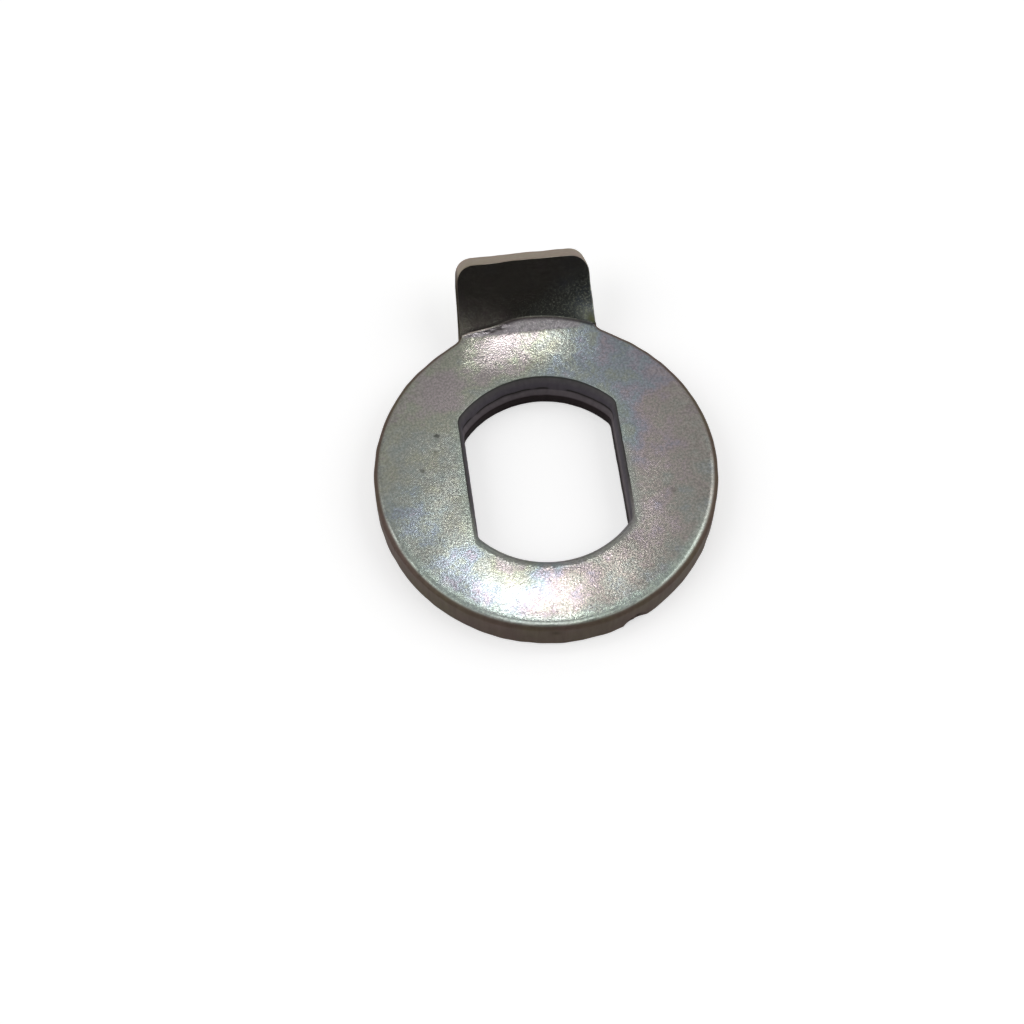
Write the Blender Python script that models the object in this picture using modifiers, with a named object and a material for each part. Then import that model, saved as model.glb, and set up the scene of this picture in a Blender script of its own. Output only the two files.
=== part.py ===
"""Lock washer for a flatted wheel axle.

A punched steel ring with a double-D hole and one locking tab, bent up along the ring's own rim.
The ring lies on its flat lower face, and the tab leans up and away at its back.
"""

import math

import bmesh
import bpy
from mathutils import Matrix, Vector

MM = 0.001

# Ring
RING_DIAMETER = 23.0 * MM
THICKNESS = 2.6 * MM
TOP_EDGE_ROLL = 0.36 * MM
LOWER_EDGE_BREAK = 0.12 * MM

# Double-D hole, measured at its narrowest, on the sheared land at its lower side
HOLE_DIAMETER = 12.8 * MM
HOLE_FLATS = 10.1 * MM
HOLE_CORNER_RADIUS = 0.8 * MM
LAND_HEIGHT = 0.95 * MM
LEDGE_HEIGHT = 0.45 * MM
LEDGE_ON_ARCS = 0.24 * MM
LEDGE_ON_FLATS = 0.11 * MM
MOUTH_DEPTH = 0.42 * MM
MOUTH_ON_ARCS = 0.42 * MM
MOUTH_ON_FLATS = 0.26 * MM
MOUTH_TURN = math.radians(72.0)

# Locking tab, in the flat blank and bent
TAB_ROOT_WIDTH = 9.42 * MM
TAB_END_WIDTH = 8.95 * MM
TAB_LENGTH = 3.95 * MM
TAB_CORNER_RADIUS = 1.7 * MM
TAB_END_RADIUS = 14.0 * MM
TAB_ROOT_FILLET = 0.75 * MM
TAB_EDGE_ROLL = 0.14 * MM
TAB_TURN = math.radians(-1.5)
BEND_ANGLE = math.radians(45.0)
BEND_RADIUS = 0.3 * MM
LIFT_WIDTH = 1.05 * MM
LIFT_ANGLE = math.radians(6.0)
CREASE_SAG = 0.27 * MM
CREASE_SAG_PLACE = -2.45 * MM
CREASE_SAG_WIDTH = 4.6 * MM
FLATTENED_LENGTH = 2.6 * MM
FLATTENED_SHARE = 0.8

# Nick knocked out of the rim's lower edge
NICK_PLACE = math.radians(-67.5)
NICK_WIDTH = 1.7 * MM
NICK_DEPTH = 0.42 * MM
NICK_HEIGHT = 1.15 * MM

# Fineness
RIM_STEP = math.radians(3.0)
CORNER_STEPS = 6
ROLL_STEPS = 3
BEND_COLUMNS = 20
BEND_ROWS = 5
TAB_ROWS = 5
CUT_CLEARANCE = 0.5 * MM
SNAP = 0.001 * MM
SHARP_ANGLE = math.radians(30.0)

RING_RADIUS = RING_DIAMETER / 2
NEUTRAL_LENGTH = (BEND_RADIUS + THICKNESS / 2) * BEND_ANGLE
BLANK_END = RING_RADIUS + NEUTRAL_LENGTH + TAB_LENGTH


def clear_scene():
    for obj in list(bpy.data.objects):
        bpy.data.objects.remove(obj, do_unlink=True)


def new_collection(name):
    collection = bpy.data.collections.new(name)
    bpy.context.scene.collection.children.link(collection)
    return collection


def plated_steel():
    """Zinc plate with a clear, faintly iridescent passivation."""
    material = bpy.data.materials.new("plated_steel")
    material.use_nodes = True
    surface = material.node_tree.nodes["Principled BSDF"]
    surface.inputs["Base Color"].default_value = (0.34, 0.34, 0.31, 1.0)
    surface.inputs["Metallic"].default_value = 0.9
    surface.inputs["Roughness"].default_value = 0.38
    return material


# Plan outlines

def arc(centre, radius, start, end, steps):
    """Points from angle start to angle end, both included."""
    turns = [start + (end - start) * i / steps for i in range(steps + 1)]
    return [centre + radius * Vector((math.cos(a), math.sin(a))) for a in turns]


def angle_of(vector):
    return math.atan2(vector.y, vector.x)


def beside_line(point, along, middle, distance):
    """Where the line through point, on its far side, is this distance from the middle."""
    reach = point - middle
    half = reach.dot(along)
    square = half * half - reach.length_squared + distance * distance
    return point + along * (math.sqrt(square) - half)


def right_side_of_tab():
    """From the rim's end, through the root fillet and up the side, to the end's middle."""
    root = Vector((TAB_ROOT_WIDTH / 2, RING_RADIUS))
    tip = Vector((TAB_END_WIDTH / 2, BLANK_END))
    along = (tip - root).normalized()
    outward = Vector((along.y, -along.x))

    ring_middle = Vector((0.0, 0.0))
    beside_root = root + outward * TAB_ROOT_FILLET
    fillet = beside_line(beside_root, along, ring_middle, RING_RADIUS + TAB_ROOT_FILLET)
    side_turn = angle_of(outward) - math.pi
    fillet_arc = arc(fillet, TAB_ROOT_FILLET, angle_of(-fillet), side_turn, CORNER_STEPS)

    end_middle = Vector((0.0, BLANK_END - TAB_END_RADIUS))
    inside_root = root - outward * TAB_CORNER_RADIUS
    corner = beside_line(inside_root, along, end_middle, TAB_END_RADIUS - TAB_CORNER_RADIUS)
    end_turn = angle_of(corner - end_middle)
    corner_arc = arc(corner, TAB_CORNER_RADIUS, angle_of(outward), end_turn, CORNER_STEPS)
    end_arc = arc(end_middle, TAB_END_RADIUS, end_turn, math.pi / 2, CORNER_STEPS)
    return fillet_arc + corner_arc + end_arc[1:]


def blank_outline():
    """The ring's rim and the flat tab, anticlockwise from the tab's right root."""
    right = right_side_of_tab()
    left = [Vector((-p.x, p.y)) for p in reversed(right[:-1])]
    start = angle_of(left[-1])
    end = angle_of(right[0]) + 2 * math.pi
    rim = arc(Vector((0.0, 0.0)), RING_RADIUS, start, end, round((end - start) / RIM_STEP))
    return right + left + rim[1:-1]


def hole_outline(on_arcs, on_flats):
    """The double-D, its arcs and flats let out by their own amounts."""
    radius = HOLE_DIAMETER / 2 + on_arcs
    flat = HOLE_FLATS / 2 + on_flats
    inner = radius - HOLE_CORNER_RADIUS
    corner = Vector((flat - HOLE_CORNER_RADIUS, 0.0))
    corner.y = math.sqrt(inner * inner - corner.x * corner.x)
    turn = angle_of(corner)
    quarter = arc(corner, HOLE_CORNER_RADIUS, 0.0, turn, CORNER_STEPS)
    quarter += arc(Vector((0.0, 0.0)), radius, turn, math.pi / 2, 2 * CORNER_STEPS)[1:]
    upper = quarter + [Vector((-p.x, p.y)) for p in reversed(quarter[:-1])]
    return upper + [-p for p in upper]


# Flat blank

def extruded_outline(name, points, thickness):
    """A closed plan outline filled and given its thickness, standing on the ground."""
    curve = bpy.data.curves.new(name, "CURVE")
    curve.dimensions = "2D"
    curve.fill_mode = "BOTH"
    curve.extrude = thickness / 2
    spline = curve.splines.new("POLY")
    spline.points.add(len(points) - 1)
    for control, point in zip(spline.points, points):
        control.co = (point.x, point.y, 0.0, 1.0)
    spline.use_cyclic_u = True
    guide = bpy.data.objects.new(name, curve)
    bpy.context.scene.collection.objects.link(guide)
    guide.location.z = thickness / 2
    bpy.context.view_layer.update()
    evaluated = guide.evaluated_get(bpy.context.evaluated_depsgraph_get())
    mesh = bpy.data.meshes.new_from_object(evaluated)
    mesh.transform(guide.matrix_world)
    bpy.data.objects.remove(guide, do_unlink=True)
    bpy.data.curves.remove(curve)
    return mesh


def tidy_caps(mesh):
    """Joins the caps to the wall, and each cap's fill triangles into one face."""
    shape = bmesh.new()
    shape.from_mesh(mesh)
    bmesh.ops.remove_doubles(shape, verts=shape.verts, dist=SNAP)
    bmesh.ops.recalc_face_normals(shape, faces=shape.faces)
    for side in (1.0, -1.0):
        cap = [f for f in shape.faces if f.normal.z * side > 0.5]
        bmesh.ops.dissolve_faces(shape, faces=cap)
    shape.to_mesh(mesh)
    shape.free()


def upper_roll(place):
    """Radius of the rolled upper edge at a place on the rim: less on the tab than on the ring."""
    beyond = (math.hypot(place.x, place.y) - RING_RADIUS) / TAB_ROOT_FILLET
    return TOP_EDGE_ROLL + (TAB_EDGE_ROLL - TOP_EDGE_ROLL) * min(max(beyond, 0.0), 1.0)


def round_rim(plate):
    """Rolled upper edge from the blanking, and a small break along the lower one."""
    widest = max(TOP_EDGE_ROLL, TAB_EDGE_ROLL, LOWER_EDGE_BREAK)
    weights = plate.data.attributes.new("bevel_weight_edge", "FLOAT", "EDGE")
    for edge, weight in zip(plate.data.edges, weights.data):
        ends = [plate.data.vertices[i].co for i in edge.vertices]
        if all(abs(end.z - THICKNESS) < SNAP for end in ends):
            weight.value = upper_roll((ends[0] + ends[1]) / 2) / widest
        elif all(abs(end.z) < SNAP for end in ends):
            weight.value = LOWER_EDGE_BREAK / widest
    bevel = plate.modifiers.new("rim", "BEVEL")
    bevel.limit_method = "WEIGHT"
    bevel.width = widest
    bevel.segments = ROLL_STEPS
    bevel.use_clamp_overlap = False
    bpy.context.view_layer.update()
    evaluated = plate.evaluated_get(bpy.context.evaluated_depsgraph_get())
    flat = plate.data
    plate.data = bpy.data.meshes.new_from_object(evaluated)
    plate.modifiers.clear()
    bpy.data.meshes.remove(flat)


# Bending

def sag_at(across):
    """How far the crease lies forward of the ring's rim, over a stretch at the left."""
    beside = min(abs(across - CREASE_SAG_PLACE) * 2 / CREASE_SAG_WIDTH, 1.0)
    return CREASE_SAG * (1.0 + math.cos(math.pi * beside)) / 2


def crease_at(across):
    """How far back the crease lies: it follows the ring's rim, but for the sag."""
    return math.sqrt(max(RING_RADIUS * RING_RADIUS - across * across, 0.0)) - sag_at(across)


def cut_along(shape, faces, point, normal):
    edges = {e for f in faces for e in f.edges}
    verts = {v for f in faces for v in f.verts}
    pieces = list(verts) + list(edges) + list(faces)
    bmesh.ops.bisect_plane(shape, geom=pieces, dist=SNAP, plane_co=point, plane_no=normal)


def faces_behind(shape, front, left=-RING_RADIUS, right=RING_RADIUS):
    """Faces behind the front line whose middle lies between left and right."""
    found = []
    for face in shape.faces:
        middle = face.calc_center_median()
        if middle.y > front - SNAP and left - SNAP < middle.x < right + SNAP:
            found.append(face)
    return found


def cut_bend_grid(shape):
    """Divides the tab and its root into columns, and each column into rows along the curved crease."""
    pad_edge = RING_RADIUS - LIFT_WIDTH
    front = pad_edge - LIFT_WIDTH
    cut_along(shape, list(shape.faces), (0.0, front, 0.0), (0.0, 1.0, 0.0))
    cut_along(shape, faces_behind(shape, front), (0.0, pad_edge, 0.0), (0.0, 1.0, 0.0))
    half_width = TAB_ROOT_WIDTH / 2 + TAB_ROOT_FILLET
    stops = [half_width * (2 * i / BEND_COLUMNS - 1) for i in range(BEND_COLUMNS + 1)]
    for stop in stops:
        cut_along(shape, faces_behind(shape, front), (stop, 0.0, 0.0), (1.0, 0.0, 0.0))
    rows = [NEUTRAL_LENGTH * i / BEND_ROWS for i in range(BEND_ROWS + 1)]
    rows += [NEUTRAL_LENGTH + TAB_LENGTH * i / TAB_ROWS for i in range(1, TAB_ROWS)]
    for left, right in zip(stops, stops[1:]):
        near = Vector((left, crease_at(left), 0.0))
        far = Vector((right, crease_at(right), 0.0))
        normal = Vector((near.y - far.y, far.x - near.x, 0.0)).normalized()
        for row in rows:
            column = faces_behind(shape, front, left, right)
            cut_along(shape, column, near + Vector((0.0, row, 0.0)), normal)


def bent(point):
    """Where a point of the flat blank comes to lie once its tab is bent up."""
    crease = crease_at(point.x)
    past = point.y - crease
    pad_edge = RING_RADIUS - LIFT_WIDTH
    lift = max(min(point.y, crease) - pad_edge, 0.0) * math.tan(LIFT_ANGLE)
    if past <= 0.0:
        return Vector((point.x, point.y, point.z + lift))
    turn = BEND_ANGLE * min(past / NEUTRAL_LENGTH, 1.0)
    straight = max(past - NEUTRAL_LENGTH, 0.0)
    left_over = 1.0 - min(straight / FLATTENED_LENGTH, 1.0)
    flattened = 1.0 - left_over * left_over
    straight -= sag_at(point.x) * flattened
    reach = BEND_RADIUS + THICKNESS - point.z
    back = crease + reach * math.sin(turn) + straight * math.cos(turn)
    back += FLATTENED_SHARE * (RING_RADIUS - crease) * flattened
    up = THICKNESS + BEND_RADIUS - reach * math.cos(turn) + straight * math.sin(turn)
    return Vector((point.x, back, up + lift))


def bend_tab(shape):
    for vert in shape.verts:
        if vert.co.y > 0.0 and abs(vert.co.x) < TAB_ROOT_WIDTH / 2 + TAB_ROOT_FILLET:
            vert.co = bent(vert.co)


def washer_plate(collection):
    """The bent blank, before its hole is punched. The tab sits a little off square to the hole."""
    mesh = extruded_outline("lock_washer", blank_outline(), THICKNESS)
    tidy_caps(mesh)
    plate = bpy.data.objects.new("lock_washer", mesh)
    collection.objects.link(plate)
    round_rim(plate)
    shape = bmesh.new()
    shape.from_mesh(plate.data)
    cut_bend_grid(shape)
    bend_tab(shape)
    bmesh.ops.triangulate(shape, faces=[f for f in shape.faces if len(f.verts) > 4])
    shape.transform(Matrix.Rotation(TAB_TURN, 4, "Z"))
    shape.to_mesh(plate.data)
    shape.free()
    plate.data.materials.append(plated_steel())
    return plate


# Cutters

def punch_sections():
    """Height, and how far the wall stands back there on the arcs and on the flats, going up."""
    below = LOWER_EDGE_BREAK + CUT_CLEARANCE
    sections = [
        (-CUT_CLEARANCE, below, below),
        (LOWER_EDGE_BREAK, 0.0, 0.0),
        (LAND_HEIGHT, 0.0, 0.0),
        (LAND_HEIGHT + LEDGE_HEIGHT, LEDGE_ON_ARCS, LEDGE_ON_FLATS),
    ]
    for i in range(CORNER_STEPS):
        turn = MOUTH_TURN * i / (CORNER_STEPS - 1)
        height = THICKNESS - MOUTH_DEPTH * (1.0 - math.sin(turn))
        opened = 1.0 - math.cos(turn)
        on_arcs = LEDGE_ON_ARCS + MOUTH_ON_ARCS * opened
        on_flats = LEDGE_ON_FLATS + MOUTH_ON_FLATS * opened
        sections.append((height, on_arcs, on_flats))
    above = THICKNESS + CUT_CLEARANCE
    sections.append((above, LEDGE_ON_ARCS + MOUTH_ON_ARCS, LEDGE_ON_FLATS + MOUTH_ON_FLATS))
    return sections


def hole_punch(collection):
    """A solid lofted through the hole's outlines, from its land up to its rolled mouth."""
    shape = bmesh.new()
    rings = []
    for height, on_arcs, on_flats in punch_sections():
        outline = hole_outline(on_arcs, on_flats)
        rings.append([shape.verts.new((p.x, p.y, height)) for p in outline])
    for lower, upper in zip(rings, rings[1:]):
        for i, vert in enumerate(lower):
            after = (i + 1) % len(lower)
            shape.faces.new((vert, lower[after], upper[after], upper[i]))
    shape.faces.new(reversed(rings[0]))
    shape.faces.new(rings[-1])
    return cutter_from(shape, "hole_punch", collection)


def nick_cutter(collection):
    """A rounded lump that takes a bite out of the rim's lower edge."""
    shape = bmesh.new()
    bmesh.ops.create_icosphere(shape, subdivisions=2, radius=0.5)
    size = Matrix.Diagonal((2 * NICK_DEPTH, NICK_WIDTH, 2 * NICK_HEIGHT, 1.0))
    place = Matrix.Rotation(NICK_PLACE, 4, "Z") @ Matrix.Translation((RING_RADIUS, 0.0, 0.0))
    shape.transform(place @ size)
    return cutter_from(shape, "nick_cutter", collection)


def cutter_from(shape, name, collection):
    bmesh.ops.recalc_face_normals(shape, faces=shape.faces)
    mesh = bpy.data.meshes.new(name)
    shape.to_mesh(mesh)
    shape.free()
    cutter = bpy.data.objects.new(name, mesh)
    cutter.hide_render = True
    cutter.display_type = "WIRE"
    collection.objects.link(cutter)
    return cutter


def cut(plate, cutter):
    modifier = plate.modifiers.new(cutter.name, "BOOLEAN")
    modifier.operation = "DIFFERENCE"
    modifier.solver = "EXACT"
    modifier.object = cutter


def shade(plate):
    """Smooth over the rolled edges, with the flat faces kept looking flat."""
    plate.data.shade_smooth()
    plate.data.set_sharp_from_angle(angle=SHARP_ANGLE)
    weighted = plate.modifiers.new("flat_faces", "WEIGHTED_NORMAL")
    weighted.keep_sharp = True


def centre_footprint(plate, others):
    """Hangs all on one empty, placed so that the footprint's middle is over the origin."""
    depths = [v.co.y for v in plate.data.vertices]
    widths = [v.co.x for v in plate.data.vertices]
    datum = bpy.data.objects.new("washer_datum", None)
    datum.location = (-(min(widths) + max(widths)) / 2, -(min(depths) + max(depths)) / 2, 0.0)
    bpy.context.scene.collection.objects.link(datum)
    for obj in [plate] + others:
        obj.parent = datum


def main():
    clear_scene()
    parts = new_collection("lock_washer")
    cutters = new_collection("cutters")
    plate = washer_plate(parts)
    tools = [hole_punch(cutters), nick_cutter(cutters)]
    for tool in tools:
        cut(plate, tool)
    centre_footprint(plate, tools)
    shade(plate)


main()
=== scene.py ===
"""A lock washer lying on a pale floor, seen from above its front, its bent tab at the back.

The flat blank is meshed first. Its tab is bent up along the crease, the plate is crowned, and the
small forms of wear are moved out along the surface's own normals. The mesh carries shares from
0 to 1, such as how much a point is a wall, and the plated steel's shader follows them.

Lengths are millimetres on the flat blank, from the ring's centre, with x across the tab and y
towards it. A pair of places is an easing's start and end: what it eases is nothing at the first
place and whole at the second, and the first may be the higher of the two.
"""

import math

import bpy
import numpy as np
from mathutils import Matrix, Vector, noise
from mathutils.geometry import delaunay_2d_cdt

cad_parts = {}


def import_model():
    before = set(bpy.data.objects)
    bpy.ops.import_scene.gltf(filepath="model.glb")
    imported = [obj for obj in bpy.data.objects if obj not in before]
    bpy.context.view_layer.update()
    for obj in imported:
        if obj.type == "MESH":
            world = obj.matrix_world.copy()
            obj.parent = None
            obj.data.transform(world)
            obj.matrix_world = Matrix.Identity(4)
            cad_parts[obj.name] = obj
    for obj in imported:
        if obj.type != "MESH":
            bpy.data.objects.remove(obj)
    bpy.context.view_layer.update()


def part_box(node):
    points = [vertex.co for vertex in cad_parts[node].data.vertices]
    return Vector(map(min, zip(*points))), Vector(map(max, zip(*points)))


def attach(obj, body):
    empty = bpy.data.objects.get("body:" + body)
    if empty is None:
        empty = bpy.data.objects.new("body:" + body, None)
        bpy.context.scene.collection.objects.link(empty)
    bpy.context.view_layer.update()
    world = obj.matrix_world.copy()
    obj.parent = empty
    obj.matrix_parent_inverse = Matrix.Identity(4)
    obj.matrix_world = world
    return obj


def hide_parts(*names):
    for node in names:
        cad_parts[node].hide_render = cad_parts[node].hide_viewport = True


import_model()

MM = 0.001

# The ring, in millimetres
RING_RADIUS = 11.5
THICKNESS = 2.6
TOP_EDGE_ROLL = 0.36
ROLL_SPREAD = 1.7
LOWER_EDGE_BREAK = 0.12
LOW = np.array(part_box("lock_washer")[0]) / MM
RING_CENTRE = (0.0, LOW[1] + RING_RADIUS)

# The double-D hole, and the steps of its punched wall
HOLE_RADIUS = 6.4
HOLE_HALF_FLATS = 5.05
HOLE_CORNER_RADIUS = 0.8
LAND_HEIGHT = 0.95
LEDGE_HEIGHT = 0.45
LEDGE_ON_ARCS = 0.24
LEDGE_ON_FLATS = 0.11
MOUTH_DEPTH = 0.42
MOUTH_ON_ARCS = 0.42
MOUTH_ON_FLATS = 0.26

# The mouth's curve and the share of it that fades into the wall: crisp behind, soft in front
CRISP_MOUTH = (1.5, 0.01)
SOFT_MOUTH = (2.6, 0.7)
MOUTH_SOFTENS = (-1.0, -5.0)

# The tab, its bend, and the strip in front of it that lifts with it
TAB_ROOT_HALF = 4.71
TAB_END_HALF = 4.475
TAB_LENGTH = 3.95
TAB_CORNER_RADIUS = 1.7
TAB_END_RADIUS = 14.0
TAB_ROOT_FILLET = 0.75
TAB_EDGE_ROLL = 0.05
TAB_TURN = math.radians(-1.5)
BEND_ANGLE = math.radians(45.0)
BEND_RADIUS = 0.3
LIFT_WIDTH = 1.05
LIFT_ANGLE = math.radians(1.0)
CREASE_SAG = 0.27
CREASE_SAG_PLACE = -2.45
CREASE_SAG_WIDTH = 4.6
FLATTENED_LENGTH = 2.6
FLATTENED_SHARE = 0.8
NEUTRAL_LENGTH = (BEND_RADIUS + THICKNESS / 2) * BEND_ANGLE
BLANK_END = RING_RADIUS + NEUTRAL_LENGTH + TAB_LENGTH
PAD_EDGE = RING_RADIUS - LIFT_WIDTH

# The top face's crown towards the rim, and its rise in front of the tab
CROWN_START = 7.4
CROWN_FALL = 0.14
CROWN_FREE_ALONG = (6.5, 9.0)
CROWN_FREE_ACROSS = (6.2, 4.4)
RISE_START = 6.6
RISE_EASE = 3.2
RISE_SLOPE = math.radians(5.1)
RISE_MIDDLE = 0.2
RISE_ACROSS = (7.4, 1.6)

# Fineness of the surface, in millimetres
TOP_PITCH = 0.14
UNDER_PITCH = 0.3
EDGE_PITCH = 0.12
PIT_PITCH = 0.05
PIT_REACH = 0.3
PIT_SPOKES = 16
KEEP_OFF_SHARE = 0.6
LEAST_STRIP_SHARE = 0.3
SAME_POINT = 1e-7
SAME_POINT_DIGITS = 5
SHARP_ANGLE = math.radians(24.0)

# Rows and steps that the curves of the surface are cut into
BEND_ROWS = 10
ROLL_ROWS = 12
RIM_ROWS = 18
BREAK_ROWS = 2
MOUTH_SHARES = (1.0, 0.94, 0.85, 0.74, 0.62, 0.49, 0.36, 0.23, 0.11, 0.0)
BAND_ROWS = 3
CRACK_ROWS = 8
LEDGE_ROWS = 6
LAND_ROWS = 9
HOLE_SIDE_STEPS = 26
HOLE_CORNER_STEPS = 8
HOLE_ARC_STEPS = 48
ROLL_TO_WALL = (0.3, 0.75)

# The nick in the rim's lower edge, torn and patchily darker inside
NICK_PLACE = math.radians(-67.5)
NICK_HALF_WIDTH = 0.85
NICK_DEPTH = 0.24
NICK_HEIGHT = 1.15
NICK_TORN_HEIGHT = 0.4
NICK_TORN_WIDTH = 0.55
NICK_REACH = 1.2
NICK_DARKNESS = 0.9
NICK_PATCHY = (-0.6, 0.3)

# Pits, by place from the ring's centre: (place, depth, half width, darkness)
PITS = [
    ((-6.91, 3.43), 0.004, 0.22, 0.8), ((-7.18, 2.25), 0.003, 0.17, 0.6), ((-8.22, 0.96), 0.003, 0.18, 0.65),
    ((-6.05, -1.45), 0.002, 0.16, 0.45), ((8.17, -2.74), 0.003, 0.2, 0.55),
]
PIT_DARKENS = (0.1, 0.8)

# A bead of plate on the rim's edge: (place, height, half width), and how far down it reaches
BEAD = ((-9.3, -6.33), 0.07, 0.16)
BEAD_REACH = 0.8

# A smudge on the rim's front wall, at a place across and up
SMUDGE_PLACE = (-0.7, 1.9)
SMUDGE_WIDTH = 0.3
SMUDGE_DARKNESS = 0.45
SMUDGE_BEFORE = -10.0

# The broken line in the hole's wall, where the steel tore
CRACK_HEIGHT = 1.54
CRACK_WIDTH = 0.12
CRACK_DEPTH = 0.05
CRACK_ON_ARCS = (3.4, 4.4)
CRACK_BROKEN = (-0.5, -0.1)

# How far above that line its close rows start, and the wider rows over them end
CRACK_ROWS_FROM = 0.2
BAND_ROWS_TO = 0.26

# Painted shade on the side walls of the tab
SIDE_INSET = 0.4
SIDE_SHADE = 0.9
SIDE_FROM_CREASE = (0.1, 1.8)
SIDE_TO_END = (BLANK_END - 1.4, BLANK_END - 2.6)
SIDE_ON_WALL = (0.5, 1.0)

# The folds pushed up in front of the crease at the left, and the painted shadow line under them
FOLD_FORWARD = -0.1
FOLD_WIDTH = 0.1
FOLD_HEIGHT = 0.08
FOLD_LEFT = (-4.4, -3.8)
FOLD_RIGHT = (-1.2, -1.9)
FOLD_BROKEN = (-0.7, 0.2)
UNDER_FOLD = 0.16
UNDER_FOLD_WIDTH = 0.06
UNDER_FOLD_DEPTH = 0.04
UNDER_FOLD_SHADOW = 0.8
UNDER_FOLD_LEFT = (-2.9, -2.4)
UNDER_FOLD_RIGHT = (-1.0, -1.6)

# Smooth noises: (height, size of a lump, seed)
PIT_RAGGED = (0.8, 0.2, 3)
NICK_TORN = (0.03, 0.28, 5)
NICK_DARK_LUMPS = (1.0, 0.4, 9)
CRACK_BREAKS = (1.0, 1.3, 11)
CRACK_WANDER = (0.06, 0.9, 13)
LAND_LUMPS = (0.008, 0.5, 17)
FOLD_WANDER = (0.08, 0.35, 19)
FOLD_BREAKS = (1.0, 0.3, 23)
WALL_LUMPS = (0.018, 0.9, 29)
PLATE_LUMPS = (0.008, 2.6, 31)
RIM_HIGHLIGHT_WANDER = (0.12, 0.5, 37)

# How much each direction counts in a noise: walls are streaked up and down
LEVEL = (1.0, 1.0, 0.0)
LAND_STREAKED = (1.0, 1.0, 0.6)
WALL_STREAKED = (1.0, 1.0, 0.5)
SEED_STEP = np.array([7.3, 3.1, 5.7])

# Where the land's own lumps start, and what counts as wholly a wall
LAND_UNEVEN = (1.5, 0.9)
FULL_WALL = 0.99

# Where the finish changes on the strip, round the hole and at the tab's end
STRIP_FRONT = (PAD_EDGE - 0.05, PAD_EDGE + 0.12)
STRIP_BACK = (-0.35, -0.1)
STRIP_MIDDLE = -0.4
STRIP_ACROSS = (4.4, 3.7)
HOLE_EDGE_FADES = (1.25, 0.35)
# The tab's sheared end, where it turns paler, partly as painted light
LIT_END_STARTS = (BLANK_END - 1.7, BLANK_END - 1.1)

# Where it changes on the tab's front face: painted glints low at the right, darker and redder elsewhere
FACE_STARTS = (0.2, 0.6)
GLINTED_ACROSS = 0.2
GLINTED_ALONG = -0.35
LEAST_PAINTED_GLINTS = 0.2
# Painted shade at the tab's foot, in the crease
CREASE_SHADE_STARTS = (-0.2, -0.02)
CREASE_SHADE_ENDS = (1.3, 0.5)
CREASE_SHADE_LEFT = (-3.2, -1.2)
CREASE_SHADE_MARGIN = 0.2
# A painted light patch at the tab's right root corner, fainter at the left
LIT_CORNER_PLACE = (4.95, 1.3)
LIT_CORNER_WIDTH = 0.6
LIT_CORNER_LEAN = 0.35
LIT_CORNER_AT_LEFT = 0.25
LIT_CORNER_STARTS = (0.3, 0.8)

# Where the rim's painted highlight lies in front, and where the grain stands up before the tab
RIM_HIGHLIGHT_STARTS = (10.35, 10.9)
RIM_HIGHLIGHT_BEFORE = (-3.0, -7.0)
RAISED_STARTS = (7.2, 9.0)
RAISED_ENDS = (PAD_EDGE, PAD_EDGE - 0.2)
RAISED_MIDDLE = -1.2
RAISED_ACROSS = (5.0, 3.2)

# The film over the plate, by place from the ring's centre: its drift, and (place, width, change)
FILM_START = 0.84
FILM_ACROSS = 0.04
FILM_ALONG = -0.03
FILM_PATCHES = [
    ((-1.0, 9.4), 3.0, -0.6), ((-3.3, -6.6), 1.7, -0.7), ((8.6, 0.0), 2.4, -0.08),
    ((5.4, 5.6), 2.2, -0.16), ((-6.2, -7.4), 1.6, 0.04), ((-9.8, -2.4), 1.6, 0.3),
    ((-6.3, 6.6), 1.6, -0.6), ((-6.0, -3.3), 1.4, -0.35), ((5.8, 2.0), 1.0, -0.3),
    ((7.0, -5.0), 2.2, -0.2),
]

# The photograph's camera, in its 1024 by 1024 frame
FRAME_SIDE = 1024
FOCAL_PIXELS = 2087.06
SENSOR = 36.0
NEAREST = 0.01
FURTHEST = 10.0
CAMERA_AZIMUTH = math.radians(-9.918)
CAMERA_ELEVATION = math.radians(64.085)
CAMERA_DISTANCE = 141.449
CAMERA_PAN = math.radians(0.9)
CAMERA_TILT = math.radians(0.749)
CAMERA_ROLL = math.radians(1.792)

# The floor, in metres, and the sky's light from the camera's side to behind
FLOOR_REACH = 1.5
FLOOR_GREY = 0.8
FLOOR_ROUGHNESS = 0.9
FLOOR_GLOW = 0.5
SKY_PLACES = (-0.8, 0.2)
SKY_LIGHTS = (0.03, 0.4)

# Softboxes, in degrees and metres: (name, azimuth, elevation, distance, size, radiance)
SOFTBOXES = [
    ("key", 6.4, 71.9, 0.6, 0.045, 9.2),
    ("top", 180.0, 79.0, 0.8, 0.3, 0.8),
    ("left", -98.0, 38.0, 0.8, 0.8, 0.85),
    ("right", 98.0, 38.0, 0.8, 0.8, 0.85),
]


# Easing and noise

def smooth(values, start, end):
    """0 at start and before it, easing to 1 at end, which may be the lower of the two."""
    share = np.clip((values - start) / (end - start), 0.0, 1.0)
    return share * share * (3.0 - 2.0 * share)


def near(plan, place, width):
    """1 at a place, falling to nothing around it."""
    return np.exp(-((plan - place) ** 2).sum(axis=1) / width**2)


def ridge(distance, width):
    """1 on a line, falling to nothing on both sides of it."""
    return np.exp(-((distance / width) ** 2))


def lumps(points, height, size, seed):
    """Smooth noise from about -height to height, its lumps about this far apart."""
    shifted = points / size + seed * SEED_STEP
    return 2.0 * height * np.array([noise.noise(Vector(p)) for p in shifted])


def turned(points, angle):
    """Points in plan, turned anticlockwise about the ring's centre."""
    cosine, sine = math.cos(angle), math.sin(angle)
    return points @ np.array([[cosine, sine], [-sine, cosine]])


# Plan outlines

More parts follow.
